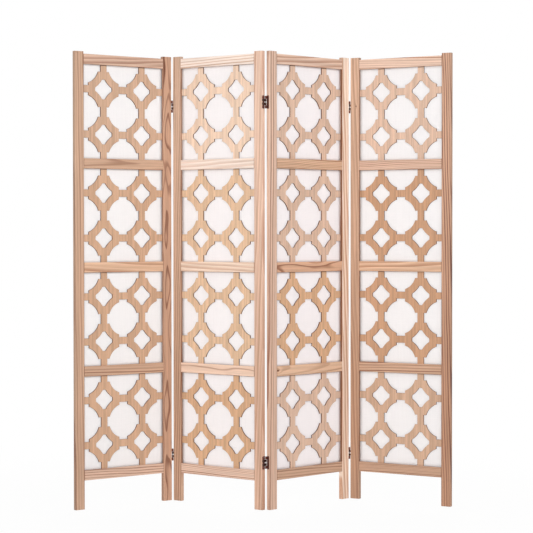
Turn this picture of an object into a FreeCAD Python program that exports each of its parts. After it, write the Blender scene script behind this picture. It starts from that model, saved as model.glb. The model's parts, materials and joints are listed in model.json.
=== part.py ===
import FreeCAD, Part
import math
import os

# A folding screen of four pine leaves, standing in a zigzag.
# Each leaf is a ladder frame of two stiles and five rails. Behind each of its four
# windows, a fretwork board and a white cloth stand in the frame's grooves.
# Two-way hinges join the leaves: a link turns on a front pin and on a rear pin, so
# that each leaf folds flat against either face of its neighbour.
# Lengths are in millimetres and angles in degrees. Z is up, the front looks along -Y
# and the origin is at the floor, under the middle of the screen.

os.makedirs("parts", exist_ok=True)

# Leaves
panel_height = 1800.0
panel_width = 450.0
frame_thickness = 18.0
stile_width = 40.0
rail_width = 40.0
rail_names = ("bottom", "lower", "middle", "upper", "top")
foot_height = 114.0         # from the floor to the bottom rail
horn_height = 9.0           # from the top rail to the stiles' tops
edge_ease = 1.2             # bevel along the stiles' corners

# Grooves, fretwork boards and cloths
groove_depth = 5.0
groove_play = 0.3           # from a board's edge to the bottom of its groove
lattice_recess = 9.0        # from the frame's face back to the fretwork
lattice_thickness = 5.0
cloth_thickness = 1.0

# Fretwork pattern: round openings with four square notches, diamonds between them
lattice_pitch = 178.0
arm_width = 28.0            # wood left between two neighbouring notches
notch_width = 39.0
notch_depth = 8.0           # from the round edge to the notch's floor
band_width = 29.5           # wood between a round opening and a diamond
tip_width = 14.0            # blunt end of a diamond
round_steps = 3             # chords in the round edge between two notches
side_steps = 2              # chords in a diamond's side

# Hinges
seam_gap = 7.0              # between the stiles of two leaves set in one plane
top_hinge_drop = 200.0      # from the stiles' tops to the upper hinge's middle
bottom_hinge_rise = 186.0   # from the floor to the lower hinge's middle
pivot_offset = 0.5          # from a leaf's face out to the pin's axis
pin_radius = 1.8
pin_clearance = 0.05
pin_sides = 10
knuckle_radius = 3.2
lug_sides = 6
hinge_plate_height = 52.0
hinge_plate_thickness = 1.2
hinge_plate_edge = 4.0      # plain wood between a plate and the stile's corner
lug_height = 9.0
lug_gap = 2.5               # between a lug and the link
link_height = 23.0
link_thickness = 1.8

# How the screen stands: the first leaf's turn, then the fold at each seam.
# A negative fold closes front to front on the front pin, a positive one closes
# back to back on the rear pin.
first_turn_angle = 36.35
seam_fold_angles = (-72.66, 80.22, -74.95)

up = FreeCAD.Vector(0, 0, 1)
overrun = groove_depth      # how far cutters pass a face

window_width = panel_width - 2 * stile_width
window_count = len(rail_names) - 1
rails_height = panel_height - foot_height - horn_height
window_height = (rails_height - len(rail_names) * rail_width) / window_count
rail_pitch = rail_width + window_height
groove_width = lattice_thickness + cloth_thickness


def block(low, high):
    """A box between two corners."""
    size = [b - a for a, b in zip(low, high)]
    return Part.makeBox(size[0], size[1], size[2], FreeCAD.Vector(*low))


def rail_level(index):
    """Height of a rail's lower face."""
    return foot_height + index * rail_pitch


def stile():
    """A left stile, grooved on its right side from the bottom rail to the top one."""
    bar = block((0, 0, 0), (stile_width, frame_thickness, panel_height))
    corners = [edge for edge in bar.Edges if edge.Length > panel_height - stile_width]
    bar = bar.makeChamfer(edge_ease, corners)
    groove_low = rail_level(0) + rail_width - groove_depth
    groove_high = rail_level(window_count) + groove_depth
    groove = block(
        (stile_width - groove_depth, lattice_recess, groove_low),
        (stile_width + overrun, lattice_recess + groove_width, groove_high),
    )
    return bar.cut(groove)


def rail(index):
    """A rail between the stiles, grooved towards each window beside it."""
    bar = block((0, 0, 0), (window_width, frame_thickness, rail_width))
    spans = []
    if index > 0:
        spans.append((-overrun, groove_depth))
    if index < window_count:
        spans.append((rail_width - groove_depth, rail_width + overrun))
    for low, high in spans:
        groove = block(
            (-overrun, lattice_recess, low),
            (window_width + overrun, lattice_recess + groove_width, high),
        )
        bar = bar.cut(groove)
    return bar


def arc_points(centre, radius, start, end, steps):
    """Points at equal angles along an arc about a centre on the fretwork's diagonal."""
    points = []
    for step in range(steps + 1):
        angle = math.radians(start + (end - start) * step / steps)
        points.append((centre + radius * math.cos(angle), centre + radius * math.sin(angle)))
    return points


def opening(quarter):
    """A cutter whose outline is one quarter, repeated by quarter turns."""
    points = []
    for turn in range(4):
        points += quarter
        quarter = [(z, -x) for x, z in quarter]
    corners = [FreeCAD.Vector(x, -overrun, z) for x, z in points]
    face = Part.Face(Part.makePolygon(corners + corners[:1]))
    return face.extrude(FreeCAD.Vector(0, lattice_thickness + 2 * overrun, 0))


def round_opening():
    """A round opening about the origin, with a square notch on each side."""
    reach = (lattice_pitch - arm_width) / 2
    radius = reach - notch_depth
    half_notch = notch_width / 2
    lean = math.degrees(math.asin(half_notch / radius))
    edge = arc_points(0, radius, 90 - lean, lean, round_steps)
    return opening(edge + [(reach, half_notch), (reach, -half_notch)])


def diamond_opening():
    """A diamond about the origin: its sides follow the four round openings."""
    centre = lattice_pitch / 2
    radius = centre - arm_width / 2 - notch_depth + band_width
    lean = math.degrees(math.acos((centre - tip_width / 2) / radius))
    return opening(arc_points(centre, radius, 180 + lean, 270 - lean, side_steps))


def window_sheet(thickness):
    """A plain sheet that fills a window and the grooves round it."""
    margin = groove_depth - groove_play
    return block(
        (-margin, 0, -margin),
        (window_width + margin, thickness, window_height + margin),
    )


def fretwork_board():
    """A window's board, cut from a wider pattern with a round opening in the middle."""
    cells_across = math.ceil(window_width / lattice_pitch / 2)
    cells_up = math.ceil(window_height / lattice_pitch / 2)
    cutters = []
    for column in range(-cells_across, cells_across + 1):
        for row in range(-cells_up, cells_up + 1):
            for cutter, step in ((round_opening(), 0), (diamond_opening(), lattice_pitch / 2)):
                x = window_width / 2 + column * lattice_pitch + step
                z = window_height / 2 + row * lattice_pitch + step
                cutter.translate(FreeCAD.Vector(x, 0, z))
                cutters.append(cutter)
    return window_sheet(lattice_thickness).cut(cutters)


def leaf_parts():
    """The pieces of one leaf, standing with its left front corner at the origin."""
    parts = {"left_stile": stile()}
    parts["right_stile"] = stile().mirror(
        FreeCAD.Vector(panel_width / 2, 0, 0), FreeCAD.Vector(1, 0, 0)
    )
    for index, name in enumerate(rail_names):
        piece = rail(index)
        piece.translate(FreeCAD.Vector(stile_width, 0, rail_level(index)))
        parts[name + "_rail"] = piece
    board = fretwork_board()
    cloth = window_sheet(cloth_thickness)
    boards = []
    cloths = []
    for index in range(window_count):
        window_low = rail_level(index) + rail_width
        for sheet, depth, group in (
            (board, lattice_recess, boards),
            (cloth, lattice_recess + lattice_thickness, cloths),
        ):
            copy = sheet.copy()
            copy.translate(FreeCAD.Vector(stile_width, depth, window_low))
            group.append(copy)
    parts["lattice"] = Part.Compound(boards)
    parts["cloth"] = Part.Compound(cloths)
    return parts


def both_hinges(piece):
    """A piece of a hinge, repeated at the heights of both hinges."""
    pieces = []
    for height in (bottom_hinge_rise, panel_height - top_hinge_drop):
        copy = piece.copy()
        copy.translate(FreeCAD.Vector(0, 0, height))
        pieces.append(copy)
    return Part.Compound(pieces)


def rod(radius, sides, pivot_y, length):
    """An upright rod with flat sides, centred on a pin's axis. Its corners are at the radius."""
    points = []
    for side in range(sides):
        angle = 2 * math.pi * (side + 0.5) / sides
        x = radius * math.cos(angle)
        y = pivot_y + radius * math.sin(angle)
        points.append(FreeCAD.Vector(x, y, -length / 2))
    return Part.Face(Part.makePolygon(points + points[:1])).extrude(up * length)


def left_plate():
    """The plate on a left leaf's end, with a lug above and below the link.

    The seam's middle is at x = 0 and the leaves' faces are at y = 0.
    """
    outer = -seam_gap / 2
    inner = outer + hinge_plate_thickness
    half_height = hinge_plate_height / 2
    plate = block(
        (outer, hinge_plate_edge, -half_height),
        (inner, frame_thickness - hinge_plate_edge, half_height),
    )
    lug_middle = link_height / 2 + lug_gap + lug_height / 2
    lugs = []
    for middle in (-lug_middle, lug_middle):
        neck = block(
            (outer, -pivot_offset, -lug_height / 2),
            (inner, hinge_plate_edge, lug_height / 2),
        )
        knuckle = rod(knuckle_radius, lug_sides, -pivot_offset, lug_height)
        lug = neck.fuse(knuckle)
        lug.translate(up * middle)
        lugs.append(lug)
    return plate.fuse(lugs).removeSplitter()


def link():
    """The link between the pins: a web with a round knuckle, bored for its pin, at each end."""
    front = -pivot_offset
    rear = frame_thickness + pivot_offset
    low = -link_height / 2
    sides = []
    for side in (-1, 1):
        wide = side * knuckle_radius
        narrow = side * link_thickness / 2
        points = (
            (wide, front),
            (narrow, front + knuckle_radius),
            (narrow, rear - knuckle_radius),
            (wide, rear),
        )
        sides.append([FreeCAD.Vector(x, y, low) for x, y in points])
    left, right = sides
    edges = Part.makePolygon(left).Edges + Part.makePolygon(right).Edges
    for end, tip_y in ((0, front - knuckle_radius), (-1, rear + knuckle_radius)):
        tip = FreeCAD.Vector(0, tip_y, low)
        edges.append(Part.Arc(left[end], tip, right[end]).toShape())
    outline = Part.Wire(Part.sortEdges(edges)[0])
    body = Part.Face(outline).extrude(up * link_height)
    bore_radius = (pin_radius + pin_clearance) / math.cos(math.pi / pin_sides)
    bores = [rod(bore_radius, pin_sides, y, link_height + overrun) for y in (front, rear)]
    return body.cut(bores)


def pin(pivot_y):
    """A pin between the two lugs of a plate."""
    return rod(pin_radius, pin_sides, pivot_y, link_height + 2 * lug_gap)


def turned_over(piece):
    """The same piece for the other leaf: half a turn about the seam's middle."""
    copy = piece.copy()
    copy.rotate(FreeCAD.Vector(0, frame_thickness / 2, 0), up, 180)
    return copy


def turn_about(point, angle):
    return FreeCAD.Placement(FreeCAD.Vector(), FreeCAD.Rotation(up, angle), point)


def shift(x):
    return FreeCAD.Placement(FreeCAD.Vector(x, 0, 0), FreeCAD.Rotation())


def standing_frames():
    """The places of the leaves and of the links, folded from the first leaf on."""
    leaves = [FreeCAD.Placement(FreeCAD.Vector(), FreeCAD.Rotation(up, first_turn_angle))]
    links = []
    seam = panel_width + seam_gap / 2
    front_pivot = FreeCAD.Vector(seam, -pivot_offset, 0)
    rear_pivot = FreeCAD.Vector(seam, frame_thickness + pivot_offset, 0)
    for fold in seam_fold_angles:
        front_turn = turn_about(front_pivot, min(fold, 0))
        rear_turn = turn_about(rear_pivot, max(fold, 0))
        on_front = leaves[-1].multiply(front_turn)
        links.append(on_front.multiply(shift(seam)))
        leaves.append(on_front.multiply(rear_turn).multiply(shift(panel_width + seam_gap)))
    return leaves, links


def placed(piece, frame):
    copy = piece.copy()
    copy.Placement = frame.multiply(copy.Placement)
    return copy


def assemble():
    """Every node of the standing screen, and the pins' axes."""
    leaves, links = standing_frames()
    nodes = {}
    for number, frame in enumerate(leaves, 1):
        for name, piece in leaf_parts().items():
            nodes["panel_%d_%s" % (number, name)] = placed(piece, frame)
    front_y = -pivot_offset
    rear_y = frame_thickness + pivot_offset
    to_seam = shift(panel_width + seam_gap / 2)
    from_seam = shift(-seam_gap / 2)
    pivots = {}
    for number, link_frame in enumerate(links, 1):
        left = leaves[number - 1].multiply(to_seam)
        right = leaves[number].multiply(from_seam)
        start = "seam_%d_" % number
        nodes[start + "left_plates"] = placed(both_hinges(left_plate()), left)
        nodes[start + "front_pins"] = placed(both_hinges(pin(front_y)), left)
        nodes[start + "links"] = placed(both_hinges(link()), link_frame)
        nodes[start + "rear_pins"] = placed(both_hinges(pin(rear_y)), right)
        nodes[start + "right_plates"] = placed(both_hinges(turned_over(left_plate())), right)
        pivots[start + "front"] = link_frame.multVec(FreeCAD.Vector(0, front_y, 0))
        pivots[start + "rear"] = link_frame.multVec(FreeCAD.Vector(0, rear_y, 0))
    return nodes, pivots


nodes, pivots = assemble()
bounds = Part.Compound(list(nodes.values())).BoundBox
to_origin = FreeCAD.Vector(-bounds.Center.x, -bounds.Center.y, -bounds.ZMin)
for name, shape in nodes.items():
    shape.translate(to_origin)
    shape.exportStep(os.path.join("parts", name + ".step"))
print("screen", bounds.XLength, bounds.YLength, bounds.ZLength)
for name, place in pivots.items():
    where = place + to_origin
    print("pivot", name, where.x, where.y)
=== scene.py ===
import json
import math
import random

import bmesh
import bpy
from mathutils import Matrix, Vector
from mathutils.geometry import delaunay_2d_cdt

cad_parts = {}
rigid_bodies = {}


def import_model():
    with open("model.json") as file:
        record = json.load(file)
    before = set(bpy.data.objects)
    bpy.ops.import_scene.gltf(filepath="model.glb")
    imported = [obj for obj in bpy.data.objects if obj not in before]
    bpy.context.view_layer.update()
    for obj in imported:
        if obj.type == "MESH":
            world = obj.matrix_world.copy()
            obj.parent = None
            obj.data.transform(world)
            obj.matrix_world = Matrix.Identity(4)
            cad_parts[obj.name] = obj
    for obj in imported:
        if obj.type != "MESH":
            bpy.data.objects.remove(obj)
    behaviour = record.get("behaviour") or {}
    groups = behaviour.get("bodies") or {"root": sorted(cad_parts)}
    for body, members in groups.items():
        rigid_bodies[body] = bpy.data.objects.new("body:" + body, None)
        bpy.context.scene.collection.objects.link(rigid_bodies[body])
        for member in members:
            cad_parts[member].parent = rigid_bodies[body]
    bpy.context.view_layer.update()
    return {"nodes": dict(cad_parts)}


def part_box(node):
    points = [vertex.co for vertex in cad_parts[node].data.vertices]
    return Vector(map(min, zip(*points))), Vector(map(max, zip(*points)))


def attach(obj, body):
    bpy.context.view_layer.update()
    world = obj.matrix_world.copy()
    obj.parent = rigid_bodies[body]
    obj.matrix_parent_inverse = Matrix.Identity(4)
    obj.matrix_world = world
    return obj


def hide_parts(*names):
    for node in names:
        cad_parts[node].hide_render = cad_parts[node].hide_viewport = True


for leftover in list(bpy.data.objects):  # what Blender opens with
    bpy.data.objects.remove(leftover)
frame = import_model()
scene = bpy.context.scene
mm = 0.001

# A folding screen of four pine leaves with fretwork in front of white cloth.
# The frames' stiles and rails are the CAD's own. The fretwork, the cloths and the
# hinges are made here in finer detail, in the places that the CAD gives them.
# Sizes in the dictionaries are in millimetres and angles in degrees.


def say(*words):
    print("screen:", *words)


def newObject(name, data):
    made = bpy.data.objects.new(name, data)
    scene.collection.objects.link(made)
    return made


def turned(angle, axis="Z"):  # a turn in degrees
    return Matrix.Rotation(math.radians(angle), 4, axis)


# The photograph's camera.

cameraView = {
    "place": (0.0102, -7.1649, 1.1055),  # metres
    "pitchDown": 1.216,
    "roll": -0.039,
    "lens": 120.86,
    "sensor": 36.0,
}


def makeCamera(view):
    lens = bpy.data.cameras.new("photoCamera")
    lens.lens = view["lens"]
    lens.sensor_width = view["sensor"]
    camera = newObject("photoCamera", lens)
    camera.location = view["place"]
    tilt = turned(90 - view["pitchDown"], "X")
    camera.rotation_euler = (tilt @ turned(view["roll"])).to_euler()
    scene.camera = camera


makeCamera(cameraView)
say("camera set")

# Where the leaves and hinges stand.

leaf = {
    "turns": {1: 36.35, 2: -36.31, 3: 43.91, 4: -31.04},  # about the upright
    "width": 450,
    "height": 1800,
    "thickness": 18,
    "stileWidth": 40,
    "railWidth": 40,
    "firstRail": 114,  # from the floor
    "horn": 9,  # of a stile over the top rail
    "rails": ("bottom", "lower", "middle", "upper", "top"),
}
leafNumbers = sorted(leaf["turns"])
seamNumbers = leafNumbers[:-1]
windowWidth = leaf["width"] - 2 * leaf["stileWidth"]
windowCount = len(leaf["rails"]) - 1
railsSpan = leaf["height"] - leaf["firstRail"] - leaf["horn"]
windowHeight = (railsSpan - len(leaf["rails"]) * leaf["railWidth"]) / windowCount
railPitch = windowHeight + leaf["railWidth"]


def leafPlace(number):  # a leaf's left front corner and its turn
    turn = turned(leaf["turns"][number])
    along, back = turn @ Vector((1, 0, 0)), turn @ Vector((0, 1, 0))
    stile = frame["nodes"]["panel_%d_left_stile" % number].data
    left = min(v.co.dot(along) for v in stile.vertices)
    front = min(v.co.dot(back) for v in stile.vertices)
    return Matrix.Translation(along * left + back * front) @ turn


def railHeight(index):
    return leaf["firstRail"] + index * railPitch


leafPlaces = {number: leafPlace(number) for number in leafNumbers}

# Small helpers for node trees.


def tone(red, green, blue):  # a colour written as on the screen, 0 to 255
    levels = [c / 255 for c in (red, green, blue)]
    return tuple(c / 12.92 if c < 0.04045 else ((c + 0.055) / 1.055) ** 2.4 for c in levels) + (1,)


def isSocket(value):
    return isinstance(value, bpy.types.NodeSocket)


def feed(socket, value):  # a link, or the socket's own value
    if isSocket(value):
        socket.id_data.links.new(value, socket)
    else:
        socket.default_value = value


def addNode(tree, kind, feeds, **settings):
    node = tree.nodes.new("ShaderNode" + kind)
    for name, value in settings.items():
        setattr(node, name, value)
    for socket, value in feeds.items():
        feed(node.inputs[socket], value)
    return node


def fedNode(kind, feeds, **settings):  # in the tree of the sockets that feed it
    tree = next(value.id_data for value in feeds.values() if isSocket(value))
    return addNode(tree, kind, feeds, **settings)


def figure(operation, *values):  # one Math node
    feeds = dict(enumerate(values))
    return fedNode("Math", feeds, operation=operation).outputs[0]


def times(first, second):
    return figure("MULTIPLY", first, second)


def plus(first, second):
    return figure("ADD", first, second)


def minus(first, second):
    return figure("SUBTRACT", first, second)


def vectorFigure(operation, *values):  # one Vector Math node
    feeds = dict(enumerate(values))
    return fedNode("VectorMath", feeds, operation=operation).outputs[0]


def scaled(vector, factors):  # one factor, or one for each axis
    return vectorFigure("MULTIPLY", vector, factors)


def lengthOf(vector):
    return fedNode("VectorMath", {0: vector}, operation="LENGTH").outputs["Value"]


def axesOf(vector):  # its x, y and z
    return fedNode("SeparateXYZ", {0: vector}).outputs


def mixed(factor, first, second, how="MIX"):
    feeds = {0: factor, 6: first, 7: second}
    return fedNode("Mix", feeds, data_type="RGBA", blend_type=how).outputs[2]


def tinted(color, tint):  # a colour times another, or times one value
    return mixed(1.0, color, tint, "MULTIPLY")


def ramp(value, low, high, start=0.0, end=1.0):  # a smooth step between two values
    feeds = {"Value": value, "From Min": low, "From Max": high, "To Min": start, "To Max": end}
    return fedNode("MapRange", feeds, interpolation_type="SMOOTHSTEP").outputs[0]


def noise(vector, seed, detail=2.0, rough=0.5):
    feeds = {"Vector": vector, "W": seed, "Scale": 1.0, "Detail": detail, "Roughness": rough}
    return fedNode("TexNoise", feeds, noise_dimensions="4D").outputs[0]


def newGroup(name, vectors, values, outputs):
    tree = bpy.data.node_groups.new(name, "ShaderNodeTree")
    newSocket = tree.interface.new_socket
    for label in vectors:
        newSocket(label, in_out="INPUT", socket_type="NodeSocketVector")
    for label, value in values.items():
        kind = "Color" if isinstance(value, tuple) else "Float"
        socket = newSocket(label, in_out="INPUT", socket_type="NodeSocket" + kind)
        socket.default_value = value
    for label in outputs:
        kind = "Color" if label == "Color" else "Float"
        newSocket(label, in_out="OUTPUT", socket_type="NodeSocket" + kind)
    return tree.nodes.new("NodeGroupInput").outputs, tree.nodes.new("NodeGroupOutput")


def finishGroup(ending, results):
    for label, socket in results.items():
        feed(ending.inputs[label], socket)
    return ending.id_data


def useGroup(group, feeds):
    return fedNode("Group", feeds, node_tree=group).outputs


# Effects that several materials share. Their vectors are in millimetres.

farOff = -99.0  # for a side or an end of a board with no painted shade or joint line
noKnot = ((0, 0, -900), 8.0)  # its place, off the board, and its size

ringLines = {
    "sway": (0.016, 0.016, 0.0032),  # how fast the rings wander, across and along the grain
    "swayDetail": 1.4,
    "rise": (0.88, 0.84),  # share of a year where its line starts, before softness, and is full
    "fall": (0.93, 1.0),
    "faintest": 0.3,  # of the years' lines, beside the strongest
}


def makeGrowthRings():  # the year rings of a trunk, cut through by the board
    given, ending = newGroup(
        "growthRings", ("Vector", "Pith", "Lean"),
        {"Spacing": 6.0, "Wander": 3.0, "Softness": 0.6, "Bulge": 0.0, "Seed": 0.0},
        ("Latewood",),
    )
    drift = scaled(given["Lean"], axesOf(given["Vector"])[2])
    middle = vectorFigure("ADD", given["Pith"], drift)
    offset = vectorFigure("SUBTRACT", given["Vector"], middle)
    distance = lengthOf(scaled(offset, (1, 1, 0)))
    wandering = scaled(given["Vector"], ringLines["sway"])
    slow = noise(wandering, given["Seed"], ringLines["swayDetail"])
    sway = times(minus(slow, 0.5), given["Wander"])
    reached = plus(plus(distance, sway), given["Bulge"])
    count = figure("DIVIDE", reached, given["Spacing"])
    part = figure("FRACT", count)
    start, full = ringLines["rise"]
    rise = ramp(part, minus(start, given["Softness"]), full)
    fall = ramp(part, *ringLines["fall"], 1.0, 0.0)
    feeds = {"W": plus(figure("FLOOR", count), given["Seed"])}
    chance = fedNode("TexWhiteNoise", feeds, noise_dimensions="1D").outputs[0]
    strength = ramp(chance, 0.0, 1.0, ringLines["faintest"], 1.0)
    band = times(times(rise, fall), strength)
    return finishGroup(ending, {"Latewood": band})


fibreStreaks = {
    "fine": (3.0, 0.6),  # detail and roughness
    "broad": (0.1, 0.1, 0.15),  # scale of the slow bands, beside the streaks
    "otherSeed": 7.3,  # keeps the bands apart from the streaks
}


def makeFibres():  # fine streaks along the grain and slow bands of shade
    given, ending = newGroup(
        "woodFibres", ("Vector",), {"Width": 1.0, "Length": 60.0, "Seed": 0.0}, ("Fine", "Broad")
    )
    across = figure("DIVIDE", 1.0, given["Width"])
    along = figure("DIVIDE", 1.0, given["Length"])
    scales = fedNode("CombineXYZ", {0: across, 1: across, 2: along}).outputs[0]
    close = scaled(given["Vector"], scales)
    wide = scaled(close, fibreStreaks["broad"])
    otherSeed = plus(given["Seed"], fibreStreaks["otherSeed"])
    return finishGroup(ending, {
        "Fine": noise(close, given["Seed"], *fibreStreaks["fine"]),
        "Broad": noise(wide, otherSeed),
    })


knotShape = {
    "squash": (1, 0.12, 0.7),  # a knot runs deep into the board and a little along the grain
    "heart": (0.45, 0.62),  # where the dark heart ends, in knot sizes
    "fading": -0.35,
    "push": -1.4,  # how far the rings give way at its middle, in knot sizes
}


def makeKnot():  # one knot: a dark heart that the rings pass round
    given, ending = newGroup(
        "woodKnot", ("Vector", "Place"), {"Size": 8.0}, ("Heart", "Bulge")
    )
    away = vectorFigure("SUBTRACT", given["Vector"], given["Place"])
    distance = lengthOf(scaled(away, knotShape["squash"]))
    reach = figure("DIVIDE", distance, given["Size"])
    squared = times(reach, reach)
    fading = figure("EXPONENT", times(squared, knotShape["fading"]))
    push = times(given["Size"], knotShape["push"])
    return finishGroup(ending, {
        "Heart": ramp(reach, *knotShape["heart"], 1.0, 0.0),
        "Bulge": times(fading, push),
    })


shadeFade = {
    "side": (0.25, 1.0),  # from full to none, as shares of the reach
    "run": 2.0,  # millimetres either side of where it starts and stops along the board
}


def makeSideShadeAndJoints():  # painted shade along a board's sides beside a window, and dark joint lines at its ends
    given, ending = newGroup(
        "sideShadeAndJoints", ("Vector",),
        {"Near Side": farOff, "Far Side": farOff, "Near End": farOff, "Far End": farOff,
         "Start": 0.0, "Stop": 400.0, "Reach": 1.5},
        ("Shade And Joints",),
    )
    at = axesOf(given["Vector"])
    masks = []
    for axis, edge in ((0, "Near Side"), (0, "Far Side"), (2, "Near End"), (2, "Far End")):
        away = figure("ABSOLUTE", minus(at[axis], given[edge]))
        share = figure("DIVIDE", away, given["Reach"])
        masks.append(ramp(share, *shadeFade["side"], 1.0, 0.0))
    soft = shadeFade["run"]
    above = ramp(minus(at[2], given["Start"]), -soft, soft)
    below = ramp(minus(given["Stop"], at[2]), -soft, soft)
    span = times(above, below)
    # painted shade along the sides, only between the rails; dark joint lines at the ends
    sides = times(figure("MAXIMUM", masks[0], masks[1]), span)
    ends = figure("MAXIMUM", masks[2], masks[3])
    return finishGroup(ending, {"Shade And Joints": figure("MAXIMUM", sides, ends)})


surface = {
    "fibres": {"Width": 0.9, "Length": 55.0},
    "pores": {"Width": 0.25, "Length": 9.0},
    # noise from and to, and what it adds to the shade
    "broad": (0.3, 0.7, -1.0, 1.0),
    "fine": (0.3, 0.7, -0.6, 0.6),
    "pore": (0.3, 0.55, -0.7, 0.1),
    "shade": 0.99,
    "heart": 1.9,  # a knot's heart has the year lines' tone to this power
    "roughness": (0.56, 0.44),  # between the year lines and on them
    "fibreHeight": 0.6,  # beside the year lines'
}


def makePine():  # planed pine, oiled: pale early wood between darker year lines
    given, ending = newGroup(
        "planedPine", ("Vector", "Pith", "Lean", "Knot"),
        {"Early": (0.8, 0.6, 0.4, 1.0), "Late": (0.5, 0.3, 0.2, 1.0), "Lines": 0.8,
         "Spacing": 6.0, "Wander": 3.0, "Softness": 0.6, "Knot Size": 8.0, "Streaks": 0.12,
         "Seed": 0.0},
        ("Color", "Roughness", "Height"),
    )
    grain = {"Vector": given["Vector"], "Seed": given["Seed"]}
    place = {"Vector": given["Vector"], "Place": given["Knot"], "Size": given["Knot Size"]}
    knot = useGroup(woodKnot, place)
    passed = {label: given[label] for label in ("Pith", "Lean", "Spacing", "Wander", "Softness")}
    rings = useGroup(growthRings, {**grain, **passed, "Bulge": knot["Bulge"]})
    fibres = useGroup(woodFibres, {**grain, **surface["fibres"]})
    pores = useGroup(woodFibres, {**grain, **surface["pores"]})
    lines = times(rings["Latewood"], given["Lines"])
    wood = mixed(lines, given["Early"], given["Late"])
    broad = ramp(fibres["Broad"], *surface["broad"])
    fine = ramp(fibres["Fine"], *surface["fine"])
    pore = ramp(pores["Fine"], *surface["pore"])  # short and dark
    layers = plus(plus(broad, fine), pore)
    streaks = times(layers, given["Streaks"])
    shaded = tinted(wood, plus(streaks, surface["shade"]))
    heart = fedNode("Gamma", {0: given["Late"], 1: surface["heart"]}).outputs[0]
    relief = times(fibres["Fine"], surface["fibreHeight"])
    return finishGroup(ending, {
        "Color": mixed(knot["Heart"], shaded, heart),
        "Roughness": ramp(lines, 0.0, 1.0, *surface["roughness"]),
        "Height": plus(relief, rings["Latewood"]),
    })


weaveShape = {
    "crossing": 0.2,  # how softly one thread dips under the other
    # scale, detail and share of the uneven upright threads, and of the level ones
    "slubs": (((0.35, 0.1, 0.012), 3.0, 0.65), ((0.02, 0.1, 0.3), 2.0, 0.35)),
}


def makeWeave():  # a plain weave seen flat, with uneven threads
    given, ending = newGroup(
        "plainWeave", ("Vector",), {"Thread": 0.6, "Seed": 0.0}, ("Threads", "Slubs")
    )
    turns = figure("DIVIDE", math.pi, given["Thread"])
    at = axesOf(scaled(given["Vector"], turns))
    over = times(figure("SINE", at[0]), figure("SINE", at[2]))
    warp = figure("ABSOLUTE", figure("COSINE", at[0]))
    weft = figure("ABSOLUTE", figure("COSINE", at[2]))
    pick = ramp(over, -weaveShape["crossing"], weaveShape["crossing"])
    first = times(pick, warp)
    second = times(minus(1.0, pick), weft)
    slubs = []
    for scales, detail, share in weaveShape["slubs"]:
        uneven = noise(scaled(given["Vector"], scales), given["Seed"], detail)
        slubs.append(times(uneven, share))
    return finishGroup(ending, {
        "Threads": plus(first, second),
        "Slubs": plus(*slubs),
    })


growthRings = makeGrowthRings()
woodFibres = makeFibres()
woodKnot = makeKnot()
sideShadeAndJoints = makeSideShadeAndJoints()
planedPine = makePine()
plainWeave = makeWeave()
say("shared effects built")


def newMaterial(name):
    material = bpy.data.materials.new(name)
    material.use_nodes = True
    tree = material.node_tree
    tree.nodes.clear()
    ending = tree.nodes.new("ShaderNodeOutputMaterial")
    skin = tree.nodes.new("ShaderNodeBsdfPrincipled")
    tree.links.new(skin.outputs[0], ending.inputs["Surface"])
    return material, tree, skin


def placeOnPiece(tree, place):  # the piece's own coordinates, in millimetres
    move, turn, size = (Matrix.Scale(1 / mm, 4) @ place.inverted()).decompose()
    spot = tree.nodes.new("ShaderNodeTexCoord").outputs["Object"]
    feeds = {"Vector": spot, "Location": move, "Rotation": turn.to_euler(), "Scale": size}
    return fedNode("Mapping", feeds).outputs[0]


def finishSkin(skin, inputs, height=None, relief=None):
    # the shader's inputs, and a bump of a depth in millimetres and a strength
    for label, value in inputs.items():
        feed(skin.inputs[label], value)
    if relief:
        feeds = {"Height": height, "Distance": relief[0] * mm, "Strength": relief[1]}
        feed(skin.inputs["Normal"], fedNode("Bump", feeds).outputs[0])


def shift(x=0, y=0):  # a move in millimetres
    return Matrix.Translation(Vector((x, y, 0)) * mm)


def rectangle(left, low, right, high):
    return [(left, low), (right, low), (right, high), (left, high)]


def easeEdges(piece, name, width, segments, angle):
    bevel = piece.modifiers.new(name, "BEVEL")
    bevel.width = width * mm
    bevel.segments = segments
    bevel.limit_method = "ANGLE"
    bevel.angle_limit = math.radians(angle)
    bevel.harden_normals = True
    return bevel


# The frames: each stile and rail is cut from its own board.

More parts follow.
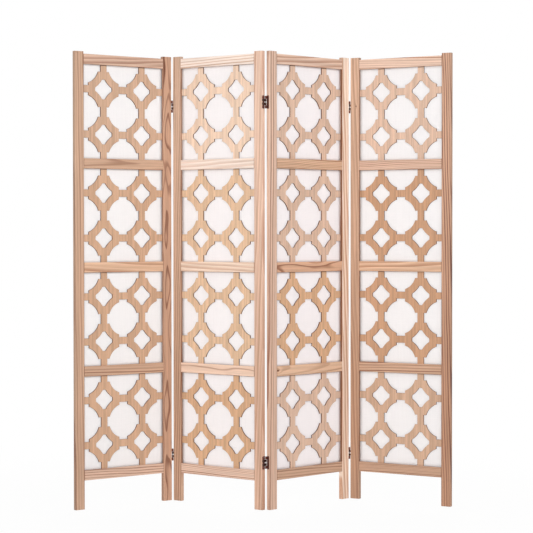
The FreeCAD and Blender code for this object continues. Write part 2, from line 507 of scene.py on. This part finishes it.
pine = {
    # early wood and year lines, as on the screen
    "tones": {
        "ivory": ((252, 234, 221), (204, 160, 130)),
        "cream": ((244, 220, 200), (196, 142, 108)),
        "pale": ((235, 203, 182), (162, 108, 80)),
        "buff": ((222, 185, 161), (170, 116, 88)),
        "flame": ((240, 207, 184), (142, 84, 56)),
        "rosy": ((218, 184, 162), (150, 102, 82)),
        "ember": ((219, 174, 144), (136, 80, 54)),
        "honey": ((225, 187, 157), (152, 97, 66)),
        "tan": ((202, 165, 139), (138, 92, 68)),
        "brown": ((198, 156, 130), (120, 74, 54)),
    },
    # the pith's place from the board's corner and its lean along it, the distance between
    # year lines, how far they wander, how soft they are and how strong
    "cuts": {
        "straight": ((-420, 60), (0.012, 0), 13.0, 16.0, 0.5, 0.9),
        "lines": ((-150, -30), (0.03, 0.01), 11.0, 14.0, 0.42, 1.0),
        "plain": ((-300, 40), (0.05, 0.01), 17.0, 24.0, 0.8, 0.76),
        "fine": ((-360, 50), (0.02, 0.004), 6.0, 20.0, 0.55, 1.0),
        "flat": ((10, -42), (0.02, -0.03), 7.5, 12.0, 0.4, 1.0),
        "waves": ((24, -34), (0.001, 0.002), 9.0, 60.0, 0.3, 1.0),
    },
    # how far one board's figure differs from another's of its cut
    "spread": {"lines": (0.85, 1.1), "pith": (0.8, 1.2), "spacing": (0.85, 1.15), "seed": (0, 90)},
    "streaks": 0.1,
    # tone and cut of each leaf's boards: left and right stile, then rails from the bottom up
    "leaves": {
        1: ("tan straight", "brown waves",
            "rosy lines", "tan lines", "honey plain", "tan flat", "rosy plain"),
        2: ("tan lines", "buff plain",
            "pale fine", "flame waves", "cream plain", "ivory plain", "ivory lines"),
        3: ("rosy straight", "cream plain",
            "tan lines", "honey flat", "ember waves", "honey fine", "pale plain"),
        4: ("tan plain", "brown lines",
            "tan fine", "tan lines", "honey plain", "rosy fine", "pale lines"),
    },
    # painted light by height: how light each leaf's stiles are at foot and top; a darker foot is
    # redder
    "lightByHeight": {1: (0.98, 1.03), 2: (0.94, 1.19), 3: (0.985, 1.08), 4: (0.84, 1.1)},
    "redder": (1.0, 1.45, 1.8),
    "footHeight": 300.0,
    "paleFoot": {1: 1.08, 2: 1.08, 3: 1.03, 4: 1.06},  # how much lighter a foot's end is
    "shadeAndJoints": (tone(122, 74, 46), 1.2),  # colour and reach of the painted shade beside the windows and of the joint lines at a rail's ends
    "stileShade": {1: 0.4, 2: 0.6, 3: 1.0, 4: 0.65},  # strength of the painted shade on each leaf's stiles
    "railStain": 0.8,
    "shadePast": 9.0,  # a rail's painted shade runs on past its ends
    "knots": {
        (3, "lower_rail"): ((17, 0, 5), 6.0),
        (4, "left_stile"): ((26, 0, 1603), 4.0),
    },
    "skin": {"Specular IOR Level": 0.35},
    "relief": (0.12, 0.6),  # depth and strength
    "weld": 0.01,
    "flatWithin": 1,  # degrees
    "easedEdge": (0.5, 2, 35),  # width, segments and the least angle that is eased
    "seed": 4,
}


boardNames = ("left_stile", "right_stile", *(rail + "_rail" for rail in leaf["rails"]))


def windowCorner(index, depth=0.0):  # its lower left one, behind the frame's face
    return Vector((leaf["stileWidth"], depth, railHeight(index) + leaf["railWidth"]))


def boardPlace(number, name):
    if name.endswith("stile"):
        left = 0 if name.startswith("left") else leaf["width"] - leaf["stileWidth"]
        return leafPlaces[number] @ shift(left)
    corner = windowCorner(leaf["rails"].index(name.split("_")[0])) * mm
    # the board's length runs along the rail
    return leafPlaces[number] @ Matrix.Translation(corner) @ turned(90, "Y")


def shadedSides(name):  # a board's sides that get painted shade: beside a window or above one
    if name.startswith("left"):
        return farOff, leaf["stileWidth"]
    if name.startswith("right"):
        return 0, farOff
    return farOff, farOff if name.startswith("bottom") else leaf["railWidth"]


# painted shade along a board's window sides, and dark joint lines at a rail's ends
def boardShadeAndJoints(name, placed, reach):
    near, far = shadedSides(name)
    if name.endswith("stile"):
        ends = farOff, farOff
        start, stop = railHeight(0), leaf["height"] - leaf["horn"]
    else:
        ends = 0, windowWidth
        start, stop = -pine["shadePast"], windowWidth + pine["shadePast"]
    return useGroup(sideShadeAndJoints, {
        "Vector": placed, "Near Side": near, "Far Side": far, "Near End": ends[0],
        "Far End": ends[1], "Start": start, "Stop": stop, "Reach": reach,
    })["Shade And Joints"]


def paintedLightByHeight(color, along, number):  # painted light: lighter towards a stile's top; also paler at its foot's end
    foot, top = pine["lightByHeight"][number]
    light = ramp(along, 0.0, leaf["height"], foot, top)
    paler = ramp(along, 0.0, pine["footHeight"], pine["paleFoot"][number], 1.0)
    light = times(light, paler)
    shade = [figure("POWER", light, power) for power in pine["redder"]]
    tint = fedNode("CombineColor", dict(enumerate(shade))).outputs[0]
    return tinted(color, tint)


def pineMaterial(number, name, look, chance):
    material, tree, skin = newMaterial("pine_%d_%s" % (number, name))
    toneName, cutName = look.split()
    early, late = (tone(*levels) for levels in pine["tones"][toneName])
    pith, lean, spacing, wander, softness, lines = pine["cuts"][cutName]
    knot, knotSize = pine["knots"].get((number, name), noKnot)
    spread = pine["spread"]
    placed = placeOnPiece(tree, boardPlace(number, name))
    wood = useGroup(planedPine, {
        "Vector": placed, "Early": early, "Late": late,
        "Lines": lines * chance.uniform(*spread["lines"]),
        "Pith": (*(c * chance.uniform(*spread["pith"]) for c in pith), 0),
        "Lean": (*(c * chance.choice((-1, 1)) for c in lean), 0),
        "Spacing": spacing * chance.uniform(*spread["spacing"]),
        "Wander": wander, "Softness": softness, "Knot": knot, "Knot Size": knotSize,
        "Streaks": pine["streaks"], "Seed": chance.uniform(*spread["seed"]),
    })
    color, strength = wood["Color"], pine["railStain"]
    if name.endswith("stile"):
        color = paintedLightByHeight(color, axesOf(placed)[2], number)
        strength = pine["stileShade"][number]
    # the painted shade and the joint lines, mixed over the wood
    shadeColor, reach = pine["shadeAndJoints"]
    share = times(boardShadeAndJoints(name, placed, reach), strength)
    finishSkin(skin, {
        **pine["skin"], "Roughness": wood["Roughness"],
        "Base Color": mixed(share, color, shadeColor),
    }, wood["Height"], pine["relief"])
    return material


def easeBoard(board):  # the CAD's triangles made whole faces, then their edges eased
    join = board.modifiers.new("joinCorners", "WELD")
    join.merge_threshold = pine["weld"] * mm
    flat = board.modifiers.new("wholeFaces", "DECIMATE")
    flat.decimate_type = "DISSOLVE"
    flat.angle_limit = math.radians(pine["flatWithin"])
    easeEdges(board, "easedEdges", *pine["easedEdge"])


def dressFrames():
    chance = random.Random(pine["seed"])
    for number in leafNumbers:
        for name, look in zip(boardNames, pine["leaves"][number]):
            board = frame["nodes"]["panel_%d_%s" % (number, name)]
            for slot in board.material_slots:
                slot.material = pineMaterial(number, name, look, chance)
            easeBoard(board)
    say("frames dressed")


dressFrames()

softAngle = 35  # degrees; edges that turn more stay sharp


def meshObject(name, shape, materials):
    mesh = bpy.data.meshes.new(name)
    shape.to_mesh(mesh)
    shape.free()
    for material in materials:
        mesh.materials.append(material)
    return newObject(name, mesh)


def newPiece(name, shape, body, materials, smooth=softAngle):
    piece = meshObject(name, shape, materials)
    piece.data.shade_smooth()
    piece.data.set_sharp_from_angle(angle=math.radians(smooth))
    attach(piece, body)
    return piece


# The fretwork.

fret = {
    "recess": 9,  # behind the frame's face
    "thickness": 5,
    "margin": 4.7,  # held in the frame's grooves
    "pitch": 178,
    "arm": 28,
    "notchWidth": 39,
    "notchDepth": 8,
    "band": 29.5,
    "tip": 14.0,
    "tipSwell": 0.8,  # how far a diamond's blunt end is rounded out
    "tipPoints": (0.6, 0.2, -0.2, -0.6),  # along it, as shares of its half
    "copies": 2,  # of the pattern, each way from a window's middle
    "step": 5.0,  # degrees along a cut's round edge
    "samePoint": 1e-5,  # points this near are one
    "flatWithin": 0.001,  # radians
    "brokenEdge": (0.35, 1, 40),  # the same as for a board's eased edge
    "softAngle": 25,  # instead of the usual one
    "veneers": {
        "blond": (244, 215, 191),
        "straw": (231, 196, 163),
        "amber": (220, 178, 142),
        "rose": (222, 190, 168),
        "sand": (207, 169, 140),
        "dusty": (207, 172, 146),
        "toast": (200, 157, 125),
    },
    # the veneer of each window's board, from the foot up
    "faces": {
        1: ("sand", "sand", "sand", "dusty"),
        2: ("amber", "straw", "straw", "blond"),
        3: ("rose", "amber", "rose", "rose"),
        4: ("dusty", "toast", "toast", "rose"),
    },
    "faceGrain": {
        "Lines": 0.6, "Pith": (-900.0, 240.0, 0.0), "Lean": (0.006, 0.0, 0.0),
        "Spacing": 6.5, "Wander": 30.0, "Softness": 0.5, "Knot": noKnot[0], "Streaks": 0.12,
    },
    "faceSeed": 11.0,  # times the leaf's number
    "faceLines": 0.72,  # how much darker the lines are than the veneer, and redder by powers
    "linePowers": (1.0, 1.5, 2.0),
    # painted shadow of a rail on the fretwork below it: where it starts and is full, and its tone
    "shadowLine": (3.5, 1.4, 0.32),
    "faceSkin": {"Specular IOR Level": 0.3},
    "faceRelief": (0.08, 0.5),
    "plies": (0.75, 1.0),  # where the middle ply ends, from the board's middle
    "cut": (tone(102, 60, 36), tone(66, 36, 21)),  # outer plies and the middle one
    "cutFibres": {"Width": 1.4, "Length": 3.0},
    "cutSeed": 3.0,  # times the leaf's number
    "scorch": (0.3, 0.7, 0.75, 1.15),  # noise from and to, and how light it leaves the edge
    "cutRoughness": (0.2, 0.8, 0.6, 0.85),  # read in the same way
    "cutRelief": (0.2, 0.6),
}


def arc(centre, radius, start, end, count=None):  # from one angle to another, in degrees
    count = count or max(2, round(abs(end - start) / fret["step"]))
    angles = [math.radians(start + (end - start) * i / count) for i in range(count + 1)]
    return [centre + radius * Vector((math.cos(a), math.sin(a))) for a in angles]


def roundOpening():
    reach = (fret["pitch"] - fret["arm"]) / 2
    radius, half = reach - fret["notchDepth"], fret["notchWidth"] / 2
    lean = math.degrees(math.asin(half / radius))
    edge = arc(Vector((0, 0)), radius, 90 - lean, lean)
    return edge + [Vector((reach, half)), Vector((reach, -half))]


def diamondOpening():
    centre = fret["pitch"] / 2
    radius = centre - fret["arm"] / 2 - fret["notchDepth"] + fret["band"]
    half, swell = fret["tip"] / 2, fret["tipSwell"]
    lean = math.degrees(math.acos((centre - half) / radius))
    side = arc(Vector((centre, centre)), radius, 180 + lean, 270 - lean)
    end = side[-1].x
    blunt = [Vector((end + swell * (1 - t * t), half * t)) for t in fret["tipPoints"]]
    return side + blunt


def allRound(quarter):
    outline = []
    for _ in range(4):
        outline += quarter
        quarter = [Vector((p.y, -p.x)) for p in quarter]
    return outline[::-1]  # against the clock, as the cutting needs


def fretworkRegions():
    # the board's outline and its openings, split into triangles where wood remains
    low, wide, high = -fret["margin"], windowWidth, windowHeight
    right, top = wide - low, high - low
    outlines = [[Vector(p) for p in rectangle(low, low, right, top)]]
    kinds = ((allRound(roundOpening()), 0), (allRound(diamondOpening()), fret["pitch"] / 2))
    copies = range(-fret["copies"], fret["copies"] + 1)
    for column in copies:
        for row in copies:
            for outline, step in kinds:
                middle = Vector((column, row)) * fret["pitch"] + Vector((step, step))
                middle += Vector((wide, high)) / 2
                if abs(middle.x - wide / 2) < wide and abs(middle.y - high / 2) < high:
                    outlines.append([middle + p for p in outline])
    points, rings = [], []
    for outline in outlines:
        rings.append(list(range(len(points), len(points) + len(outline))))
        points += outline
    result = delaunay_2d_cdt(points, [], rings, 0, fret["samePoint"], True)
    kept = [list(face) for face, source in zip(result[2], result[5]) if list(source) == [0]]
    return result[0], kept


def fretworkBoard(shape, points, faces, corner):
    # one window's board: the wood's regions, front and back, and walls along their edges
    layers = []
    for depth in (0, fret["thickness"]):
        away = corner + Vector((0, depth, 0))
        layers.append({
            i: shape.verts.new((Vector((points[i].x, 0, points[i].y)) + away) * mm)
            for i in sorted({i for face in faces for i in face})
        })
    front, back = layers
    runs = set()
    for face in faces:
        shape.faces.new([front[i] for i in face])
        shape.faces.new([back[i] for i in reversed(face)])
        runs.update(zip(face, face[1:] + face[:1]))
    for a, b in sorted(runs):
        if (b, a) not in runs:
            shape.faces.new((front[b], front[a], back[a], back[b]))


def veneerMaterial(number):
    material, tree, skin = newMaterial("fretworkFace_%d" % number)
    placed = placeOnPiece(tree, leafPlaces[number])
    height = axesOf(placed)[2]
    veneers = [tone(*fret["veneers"][name]) for name in fret["faces"][number]]
    early = veneers[0]
    for index, veneer in enumerate(veneers[1:], 1):  # each board has its own, rail to rail
        behindRail = railHeight(index) + leaf["railWidth"] / 2
        early = mixed(figure("GREATER_THAN", height, behindRail), early, veneer)
    darker = (*(fret["faceLines"] ** power for power in fret["linePowers"]), 1)
    wood = useGroup(planedPine, {
        **fret["faceGrain"], "Vector": placed, "Early": early,
        "Late": tinted(early, darker),
        "Seed": fret["faceSeed"] * number,
    })
    # a painted shadow under each rail, across the top of the fretwork below it
    start, full, depth = fret["shadowLine"]
    level = figure("MODULO", minus(height, railHeight(0)), railPitch)
    line = ramp(level, railPitch - start, railPitch - full, 1.0, depth)
    finishSkin(skin, {
        **fret["faceSkin"], "Roughness": wood["Roughness"],
        "Base Color": tinted(wood["Color"], line),
    }, wood["Height"], fret["faceRelief"])
    return material


def cutEdgeMaterial(number):  # the boards' sawn edges: three plies, darkened by the saw
    material, tree, skin = newMaterial("fretworkEdge_%d" % number)
    placed = placeOnPiece(tree, leafPlaces[number])
    middle = fret["recess"] + fret["thickness"] / 2
    into = minus(axesOf(placed)[1], middle)
    ply = ramp(figure("ABSOLUTE", into), *fret["plies"])
    grain = {"Vector": placed, "Seed": fret["cutSeed"] * number}
    fibres = useGroup(woodFibres, {**grain, **fret["cutFibres"]})
    outer, inner = fret["cut"]
    scorch = ramp(fibres["Broad"], *fret["scorch"])
    finishSkin(skin, {
        "Base Color": tinted(mixed(ply, inner, outer), scorch),
        "Roughness": ramp(fibres["Fine"], *fret["cutRoughness"]),
    }, fibres["Fine"], fret["cutRelief"])
    return material


def makeFretwork():
    points, faces = fretworkRegions()
    for number in leafNumbers:
        shape = bmesh.new()
        for index in range(windowCount):
            fretworkBoard(shape, points, faces, windowCorner(index, fret["recess"]))
        bmesh.ops.dissolve_limit(
            shape, angle_limit=fret["flatWithin"], verts=shape.verts, edges=shape.edges
        )
        shape.normal_update()
        for face in shape.faces:
            face.material_index = 0 if abs(face.normal.y) > 0.9 else 1  # a face or a cut edge
        shape.transform(leafPlaces[number])
        piece = newPiece(
            "fretwork_%d" % number, shape, "panel_%d" % number,
            (veneerMaterial(number), cutEdgeMaterial(number)), fret["softAngle"],
        )
        easeEdges(piece, "brokenEdge", *fret["brokenEdge"]).material = 1
        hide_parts("panel_%d_lattice" % number)
    say("fretwork cut,", len(faces), "regions to a window")


makeFretwork()

# The cloths, one stretched behind each window's fretwork.

cloth = {
    "depth": 14.45,  # behind the frame's face
    "thickness": 0.3,
    "margin": 4.7,
    "slack": 0.14,  # how far the stretched cloth wanders from flat
    "waves": (0.7, 2.2),  # of the slack, over a cloth
    "waveStarts": (0, 6.28),  # radians
    "waveCount": 4,
    "cells": 26,
    "thread": 0.55,
    "seed": 5.0,  # times the leaf's number
    "litColors": {  # each leaf's threads, lighter on the middle two leaves as painted light
        1: tone(245, 243, 243), 2: tone(254, 250, 250),
        3: tone(255, 250, 251), 4: tone(244, 242, 242),
    },
    "thinner": 0.97,  # how light the cloth is where its threads are sparse
    "slubs": (0.35, 0.6),
    "threadTone": (0.1, 0.9, 0.96, 1.0),  # between the threads and on them
    "roughness": (0.95, 0.8),  # between the threads and on them
    "relief": (0.12, 0.5),
    "skin": {"Sheen Weight": 0.15, "Sheen Roughness": 0.6, "Specular IOR Level": 0.2},
}


def clothMaterial(number):
    material, tree, skin = newMaterial("screenCloth_%d" % number)
    placed = placeOnPiece(tree, leafPlaces[number])
    weave = useGroup(plainWeave, {
        "Vector": placed, "Thread": cloth["thread"], "Seed": cloth["seed"] * number,
    })
    light = cloth["litColors"][number]
    dark = (*(c * cloth["thinner"] for c in light[:3]), 1)
    color = mixed(ramp(weave["Slubs"], *cloth["slubs"]), dark, light)
    finishSkin(skin, {
        **cloth["skin"],
        "Base Color": tinted(color, ramp(weave["Threads"], *cloth["threadTone"])),
        "Roughness": ramp(weave["Threads"], 0.0, 1.0, *cloth["roughness"]),
    }, plus(weave["Threads"], weave["Slubs"]), cloth["relief"])
    return material


def clothPoint(corner, u, v, waves):  # by shares of the cloth's width and height
    low = -cloth["margin"]
    free = math.sin(math.pi * u) * math.sin(math.pi * v)  # none at the grooves
    sway = sum(
        math.sin(count * math.pi * 2 * (u if k % 2 else v) + start)
        for k, (count, start) in enumerate(waves)
    ) / cloth["waveCount"]
    x = corner.x + low + (windowWidth - 2 * low) * u
    z = corner.z + low + (windowHeight - 2 * low) * v
    return Vector((x, cloth["depth"] + cloth["slack"] * free * sway, z)) * mm


def clothMesh(number, index):
    chance = random.Random(10 * number + index)  # each cloth has its own
    waves = [(chance.uniform(*cloth["waves"]), chance.uniform(*cloth["waveStarts"]))
             for _ in range(cloth["waveCount"])]
    cells, corner = cloth["cells"], windowCorner(index)
    shape = bmesh.new()
    rows = [
        [shape.verts.new(clothPoint(corner, i / cells, j / cells, waves)) for i in range(cells + 1)]
        for j in range(cells + 1)
    ]
    for near, far in zip(rows, rows[1:]):
        for i in range(cells):
            shape.faces.new((near[i], near[i + 1], far[i + 1], far[i]))
    shape.transform(leafPlaces[number])
    return shape


def makeCloths():
    for number in leafNumbers:
        material = clothMaterial(number)
        for index in range(windowCount):
            rail = leaf["rails"][index]
            piece = newPiece(
                "cloth_%d_%s" % (number, rail), clothMesh(number, index),
                "panel_%d" % number, (material,),
            )
            body = piece.modifiers.new("clothBody", "SOLIDIFY")
            body.thickness = cloth["thickness"] * mm
            body.offset = 0
            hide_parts("panel_%d_cloth" % number)
    say("cloths stretched")


makeCloths()

# The two-way hinges.

hinge = {
    "heights": (186, 1600),
    "gap": 7,  # between two leaves in one plane
    "pivotOffset": 0.5,  # of a pin's axis from the leaf's face
    "plateHeight": 52,
    "plateThickness": 1.2,
    "plateEdge": 4,  # bare wood beside the plate
    "plateCorner": 2.5,
    "cornerChords": 4,
    "tabLap": 1,  # of a barrel's tab over the plate
    "tabInset": 0.02,  # of its faces from the plate's
    "barrel": 3.2,
    "barrelEdge": 0.4,  # how far its ends are rounded
    "barrelSides": 28,
    "pin": 1.8,
    "pinPlay": 0.1,  # round it in a barrel
    "pinSides": 24,
    "head": 2.6,
    "headProfile": ((0, 1.0), (0.6, 0.85), (1, 0.35), (1, 0)),  # shares of its radius, heights
    "lugs": (12.5, 24),  # heights of a barrel's ends over the hinge's middle
    "links": (2.6, 11.6),
    "linkThickness": 1.8,
    "webStart": 0.85,  # share of a barrel's radius
    "webInset": 0.15,  # from the link's ends
    "curlInset": 0.2,
    "curl": (0.9, 0.8, 1.6, 1.9),  # shares of the web and the barrel, then flare and tail
    "screws": (-19, 0, 19),
    "screwHead": 2.9,
    "screwProfile": ((1, -0.1), (1, 0.15), (0.8, 0.42), (0.42, 0.55), (0, 0.58)),
    "screwSides": 20,
    "screwTurn": 20,
    "cross": (0.62, 0.28, 0.3, 0.6),  # half its length as a share, half its width, and heights
    "bronzes": {  # dull tone, worn tone, seed and polish
        "hingeBronze": ((98, 54, 46), (148, 94, 78), 2.0, 0.0),
        # the links and pins are darker than the plates: painted shade in the seam
        "shadedLinkBronze": ((40, 22, 20), (112, 76, 66), 5.0, 0.02),
        "shadedPinBronze": ((40, 22, 20), (112, 76, 66), 9.0, 0.12),
    },
    "patches": ((0.22, 0.22, 0.16), 4.0, 0.6),  # scale, detail and roughness of the wear
    "metalGrain": ((1.6, 1.6, 1.1), 3.0),
    "grainSeed": 3.0,  # added to a bronze's own
    "grainShare": 0.3,
    "worn": (0.62, 0.86),
    "metalRoughness": (0.55, 0.38),  # dull and worn
    "metalSkin": {"Metallic": 0.7},
    "metalRelief": (0.06, 0.4),
}


def bronzeMaterial(name):
    dull, worn, seed, polish = hinge["bronzes"][name]
    material, tree, skin = newMaterial(name)
    spot = scaled(tree.nodes.new("ShaderNodeTexCoord").outputs["Object"], (1 / mm,) * 3)
    patchScale, *patchKind = hinge["patches"]
    grainScale, grainDetail = hinge["metalGrain"]
    patches = noise(scaled(spot, patchScale), seed, *patchKind)
    grain = noise(scaled(spot, grainScale), seed + hinge["grainSeed"], grainDetail)
    both = plus(patches, times(grain, hinge["grainShare"]))
    wear = ramp(both, *(edge - polish for edge in hinge["worn"]))
    finishSkin(skin, {
        **hinge["metalSkin"], "Base Color": mixed(wear, tone(*dull), tone(*worn)),
        "Roughness": ramp(wear, 0.0, 1.0, *hinge["metalRoughness"]),
    }, grain, hinge["metalRelief"])
    return material


hingeBronze, shadedLinkBronze, shadedPinBronze = map(bronzeMaterial, hinge["bronzes"])


def addPrism(shape, outline, low, high, place=Matrix()):
    # a closed outline of x, y points raised from one height to the other
    floor = [shape.verts.new(place @ Vector((x, y, low))) for x, y in outline]
    roof = [shape.verts.new(place @ Vector((x, y, high))) for x, y in outline]
    shape.faces.new(floor[::-1])
    shape.faces.new(roof)
    count = len(outline)
    for i in range(count):
        j = (i + 1) % count
        shape.faces.new((floor[i], floor[j], roof[j], roof[i]))


def addTurned(shape, profile, place, sides):
    # a closed body of radius, height points, turned about its own upright
    rings = []
    for radius, height in profile:
        ring = []
        for side in range(sides if radius else 1):  # a point on the axis is shared
            angle = 2 * math.pi * side / sides
            point = Vector((radius * math.cos(angle), radius * math.sin(angle), height))
            ring.append(shape.verts.new(place @ point))
        rings.append(ring)
    for first, second in zip(rings, rings[1:]):
        for side in range(sides):
            following = (side + 1) % sides
            corners = [first[side % len(first)], first[following % len(first)],
                       second[following % len(second)], second[side % len(second)]]
            corners = list(dict.fromkeys(corners))
            if len(corners) > 2:
                shape.faces.new(corners)


def roundedPlate(low, high, corner):
    # y, z outline of a plate with rounded corners
    left, bottom = (c + corner for c in low)
    right, top = (c - corner for c in high)
    outline = []
    for turn, centre in enumerate(((right, top), (left, top), (left, bottom), (right, bottom))):
        angles = 90 * turn, 90 * (turn + 1)
        outline += arc(Vector(centre), corner, *angles, hinge["cornerChords"])
    return outline


def addBarrel(shape, bottom, top, place):
    # sheet rolled round the pin, with a soft edge at each end
    bore, outer, soft = hinge["pin"] + hinge["pinPlay"], hinge["barrel"], hinge["barrelEdge"]
    profile = [(bore, bottom), (outer - soft, bottom), (outer, bottom + soft),
               (outer, top - soft), (outer - soft, top), (bore, top), (bore, bottom)]
    addTurned(shape, profile, place, hinge["barrelSides"])


def addPlate(shape, middle):
    # the left leaf's plate with its screws and its two rolled barrels
    outer = -hinge["gap"] / 2
    inner = outer + hinge["plateThickness"]
    back = leaf["thickness"] - hinge["plateEdge"]
    half = hinge["plateHeight"] / 2
    upright = Matrix.Translation((0, 0, middle))
    # the prism's axis is laid along x
    lying = upright @ Matrix(((0, 0, 1, 0), (1, 0, 0, 0), (0, 1, 0, 0), (0, 0, 0, 1)))
    outline = roundedPlate((hinge["plateEdge"], -half), (back, half), hinge["plateCorner"])
    addPrism(shape, outline, outer, inner, lying)
    pinLine, lap = -hinge["pivotOffset"], hinge["plateEdge"] + hinge["tabLap"]
    inset = hinge["tabInset"]
    low, high = hinge["lugs"]
    for bottom, top in ((low, high), (-high, -low)):
        tab = rectangle(pinLine, bottom, lap, top)
        addPrism(shape, tab, outer + inset, inner - inset, lying)
        addBarrel(shape, bottom, top, upright @ Matrix.Translation((0, pinLine, 0)))
    for height in hinge["screws"]:
        seat = Vector((inner, leaf["thickness"] / 2, middle + height))
        addScrew(shape, Matrix.Translation(seat) @ turned(90, "Y"))


def addScrew(shape, place):
    # a low domed head with a raised cross
    head = hinge["screwHead"]
    profile = [(head * share, height) for share, height in hinge["screwProfile"]]
    addTurned(shape, profile, place, hinge["screwSides"])
    lengthShare, width, low, high = hinge["cross"]
    length = head * lengthShare
    for turn in (0, 90):
        bar = rectangle(-length, -width, length, width)
        addPrism(shape, bar, low, high, place @ turned(turn + hinge["screwTurn"]))


def addPin(shape, middle):
    # a round pin through both barrels, headed at each end
    reach = hinge["lugs"][1]
    upper = [(hinge["head"] * share, reach + rise) for share, rise in hinge["headProfile"]]
    upper.append((hinge["pin"], reach))
    profile = [(radius, -height) for radius, height in upper] + upper[::-1]
    place = Matrix.Translation((0, -hinge["pivotOffset"], middle))
    addTurned(shape, profile, place, hinge["pinSides"])


def addLink(shape, bottom, top):
    # a flat web with a barrel at each end
    front = -hinge["pivotOffset"]
    rear = leaf["thickness"] + hinge["pivotOffset"]
    barrel, half = hinge["barrel"], hinge["linkThickness"] / 2
    for y in (front, rear):
        addBarrel(shape, bottom, top, Matrix.Translation((0, y, 0)))
    start, inset = barrel * hinge["webStart"], hinge["webInset"]
    web = rectangle(-half, front + start, half, rear - start)
    addPrism(shape, web, bottom + inset, top - inset)
    inset = hinge["curlInset"]
    webShare, barrelShare, flare, tail = hinge["curl"]
    for side in (-1, 1):  # the sheet's curl where it leaves the barrels
        for y, turn in ((front, 1), (rear, -1)):
            curl = [(side * half * webShare, y + turn * barrel * barrelShare),
                    (side * barrel * barrelShare, y + turn * flare),
                    (side * half, y + turn * (barrel + tail))]
            if side * turn < 0:
                curl.reverse()
            addPrism(shape, curl, bottom + inset, top - inset)


def scaleDown(shape, place):
    shape.transform(place @ Matrix.Scale(mm, 4))
    bmesh.ops.recalc_face_normals(shape, faces=shape.faces)


def linkPlace(number):  # the link's own frame, from the two pins of its seam
    axes = []
    for side in ("front", "rear"):
        low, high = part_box("seam_%d_%s_pins" % (number, side))
        axes.append(Vector(((low[0] + high[0]) / 2, (low[1] + high[1]) / 2, 0)))
    back = (axes[1] - axes[0]).normalized()
    turn = turned(math.degrees(math.atan2(-back.x, back.y)))
    return Matrix.Translation(axes[0]) @ turn @ shift(0, hinge["pivotOffset"])


def makeHinges():
    toRight = shift(leaf["width"] + hinge["gap"] / 2)
    toLeft = shift(-hinge["gap"] / 2)
    axis = shift(0, leaf["thickness"] / 2)
    turnedOver = axis @ turned(180) @ axis.inverted()
    for number in seamNumbers:
        left = leafPlaces[number] @ toRight
        right = leafPlaces[number + 1] @ toLeft @ turnedOver
        start = "seam_%d_" % number
        sides = ((left, "panel_%d" % number, "left_plates", "front_pins"),
                 (right, "panel_%d" % (number + 1), "right_plates", "rear_pins"))
        for place, body, plates, pins in sides:
            for name, add, slot, material in ((plates, addPlate, "hinge_bronze", hingeBronze),
                                              (pins, addPin, "hinge_pin", shadedPinBronze)):
                shape = bmesh.new()
                for height in hinge["heights"]:
                    add(shape, height)
                scaleDown(shape, place)
                piece = newPiece(start + name + "_made", shape, body, (material,))
                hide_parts(start + name)
        shape = bmesh.new()
        low, high = hinge["links"]
        for height in hinge["heights"]:
            addLink(shape, height + low, height + high)
            addLink(shape, height - high, height - low)
        scaleDown(shape, linkPlace(number))
        piece = newPiece(start + "links_made", shape, "links_%d" % number,
                         (shadedLinkBronze,))
        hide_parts(start + "links")
    say("hinges made")


makeHinges()

# Floor, daylight and lamps.

studio = {
    "floorSize": 30.0,  # metres, as its reach is
    "floor": {
        "Base Color": tone(236, 234, 232), "Roughness": 0.9, "Specular IOR Level": 0.1,
    },
    "floorGlow": (0.965, 1.0),  # share of plain white seen over the shaded floor, near and far
    "floorReach": (0.6, 2.2),
    "plainWhite": (1, 1, 1, 1),
    "world": tone(252, 252, 255),
    "worldStrength": 0.23,
    "lamps": {  # place, aim, size in metres and power
        "front": ((-0.5, -7.4, 1.8), (0.0, 0.0, 0.7), 2.2, 340),
        "side": ((1.8, -4.2, 3.6), (0.1, 0.0, 0.8), 1.8, 44),
        "back": ((0.8, 5.6, 2.4), (0.0, 0.0, 0.8), 3.0, 240),
    },
}


def seenDirectly(tree):  # 1 for the camera and for reflections and clear glass
    path = tree.nodes.new("ShaderNodeLightPath").outputs
    either = figure("MAXIMUM", path["Is Camera Ray"], path["Is Glossy Ray"])
    return figure("MAXIMUM", either, path["Is Transmission Ray"])


def makeFloor():
    shape = bmesh.new()
    half = studio["floorSize"] / 2
    corners = rectangle(-half, -half, half, half)
    shape.faces.new([shape.verts.new((x, y, 0)) for x, y in corners])
    material, tree, skin = newMaterial("studioFloor")
    finishSkin(skin, studio["floor"])
    white = addNode(tree, "Emission", {0: studio["plainWhite"], 1: 1.0})
    away = lengthOf(tree.nodes.new("ShaderNodeTexCoord").outputs["Object"])
    glow = ramp(away, *studio["floorReach"], *studio["floorGlow"])
    share = times(seenDirectly(tree), glow)
    blend = fedNode("MixShader", {0: share, 1: skin.outputs[0], 2: white.outputs[0]})
    ending = next(node for node in tree.nodes if node.type == "OUTPUT_MATERIAL")
    tree.links.new(blend.outputs[0], ending.inputs["Surface"])
    meshObject("studioFloor", shape, (material,))


def makeLamp(name, place, aim, size, power):
    light = bpy.data.lights.new(name, "AREA")
    light.shape = "DISK"
    light.size = size
    light.energy = power
    lamp = newObject(name, light)
    lamp.location = place
    lamp.rotation_euler = (Vector(aim) - Vector(place)).to_track_quat("-Z", "Y").to_euler()


def makeWorld():
    world = scene.world or bpy.data.worlds.new("studioWorld")
    scene.world = world
    world.use_nodes = True
    tree = world.node_tree
    tree.nodes.clear()
    ambient = addNode(tree, "Background", {0: studio["world"], 1: studio["worldStrength"]})
    white = addNode(tree, "Background", {0: studio["plainWhite"], 1: 1.0})
    shares = {0: seenDirectly(tree), 1: ambient.outputs[0], 2: white.outputs[0]}
    blend = fedNode("MixShader", shares)
    ending = tree.nodes.new("ShaderNodeOutputWorld")
    tree.links.new(blend.outputs[0], ending.inputs["Surface"])


makeFloor()
makeWorld()
for name, lamp in studio["lamps"].items():
    makeLamp(name + "Lamp", *lamp)
scene.view_settings.view_transform = "Standard"
say("studio lit")
